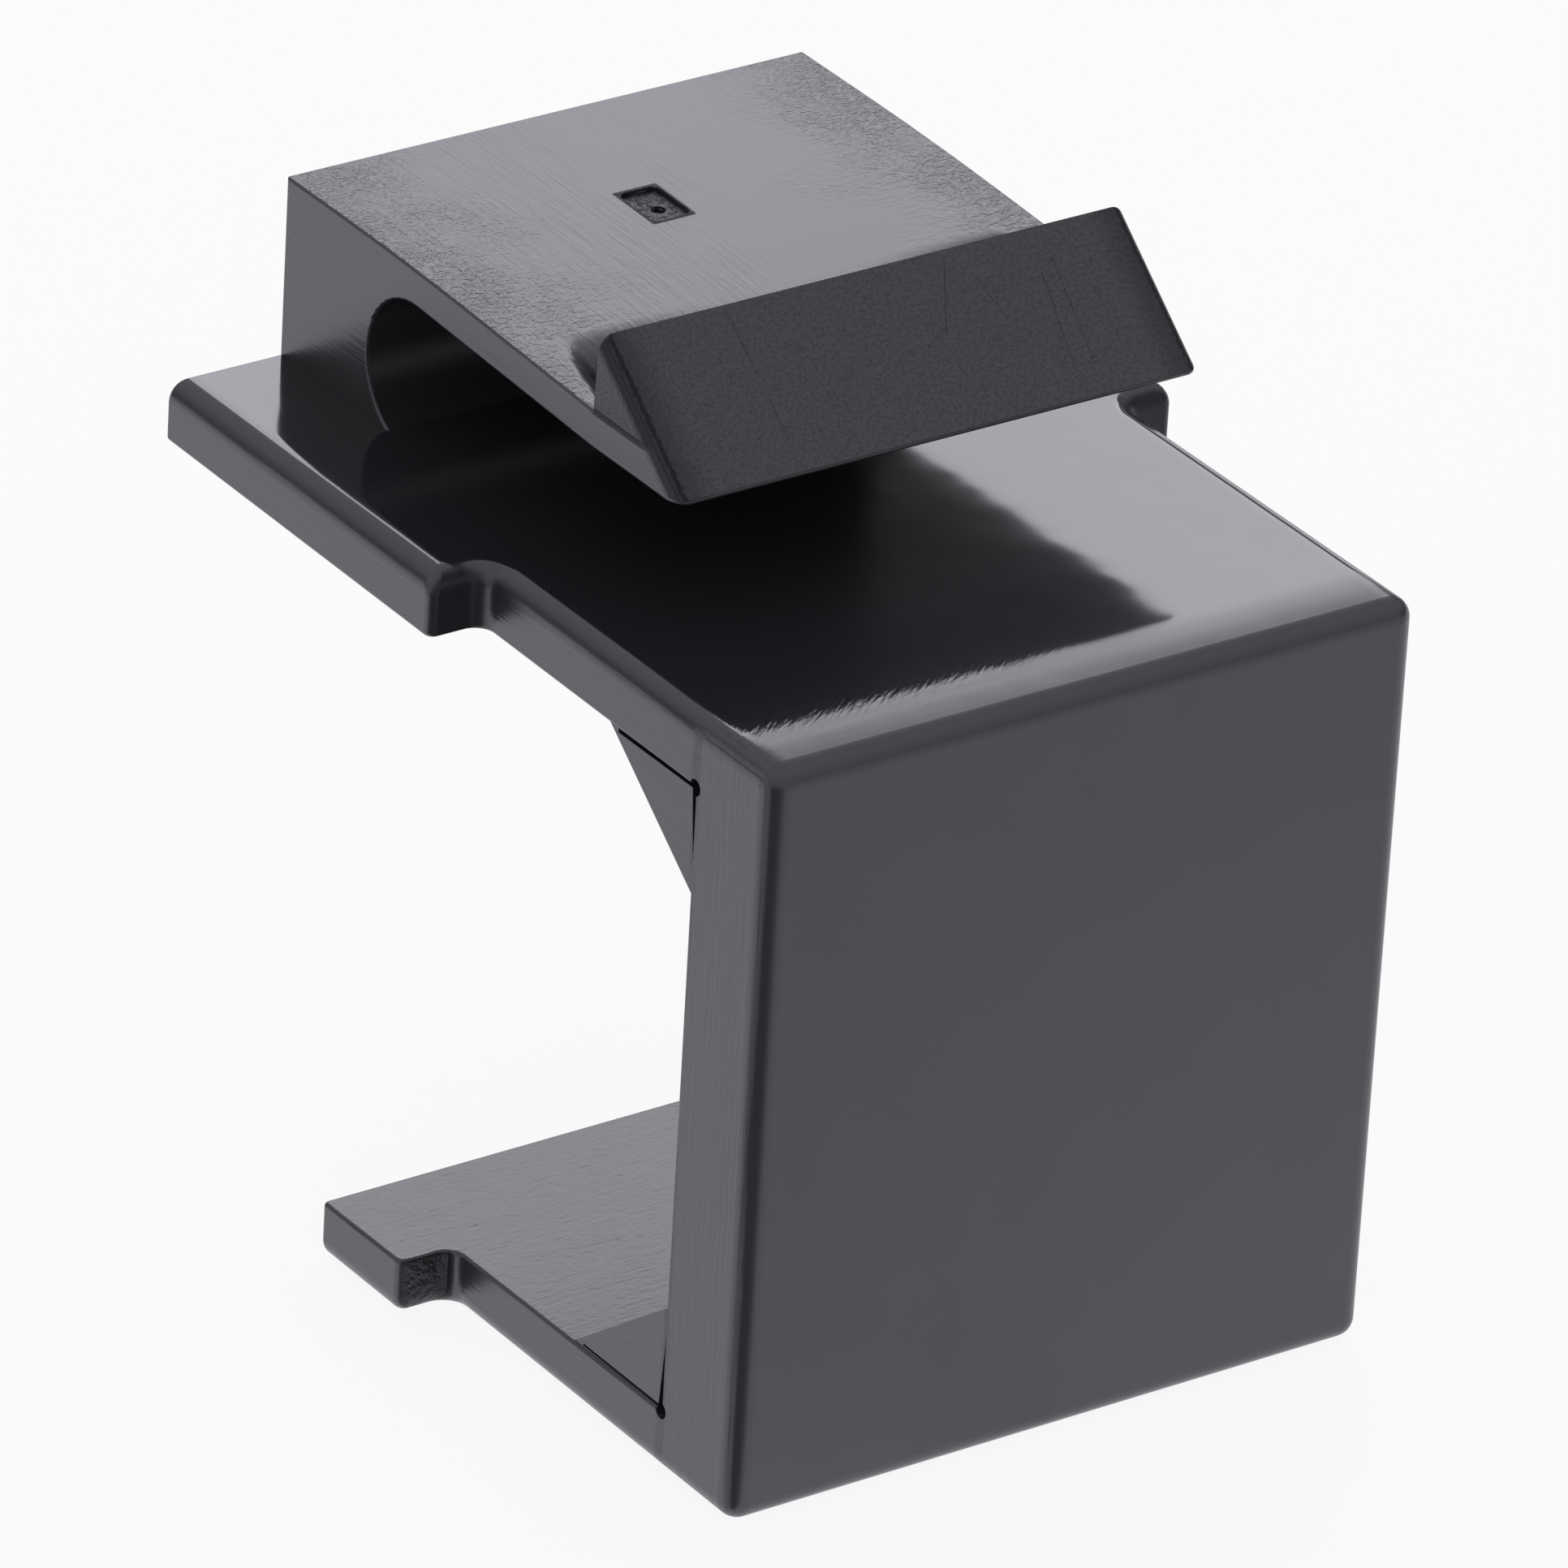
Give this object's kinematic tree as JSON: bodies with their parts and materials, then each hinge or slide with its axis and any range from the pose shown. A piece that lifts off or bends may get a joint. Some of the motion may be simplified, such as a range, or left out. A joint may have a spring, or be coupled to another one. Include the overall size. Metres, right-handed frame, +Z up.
{
  "type": "keystone blank insert",
  "caption": "Blank insert that closes a keystone port: a flat face plate, two walls behind it with stop ears, and a spring latch arm with a wedge catch.",
  "frame": {"origin": "centre of the front face, in the plane of that face", "axes": "+X along the width, to the right as the face is seen from the front; +Y back from the face into the panel; +Z up, from the bottom wall to the latch"},
  "size_m": [0.0168, 0.0187, 0.0208],
  "materials": {
    "black_abs": "satin"
  },
  "bodies": {
    "root": {"keystone_blank": "black_abs"}
  },
  "joints": []
}
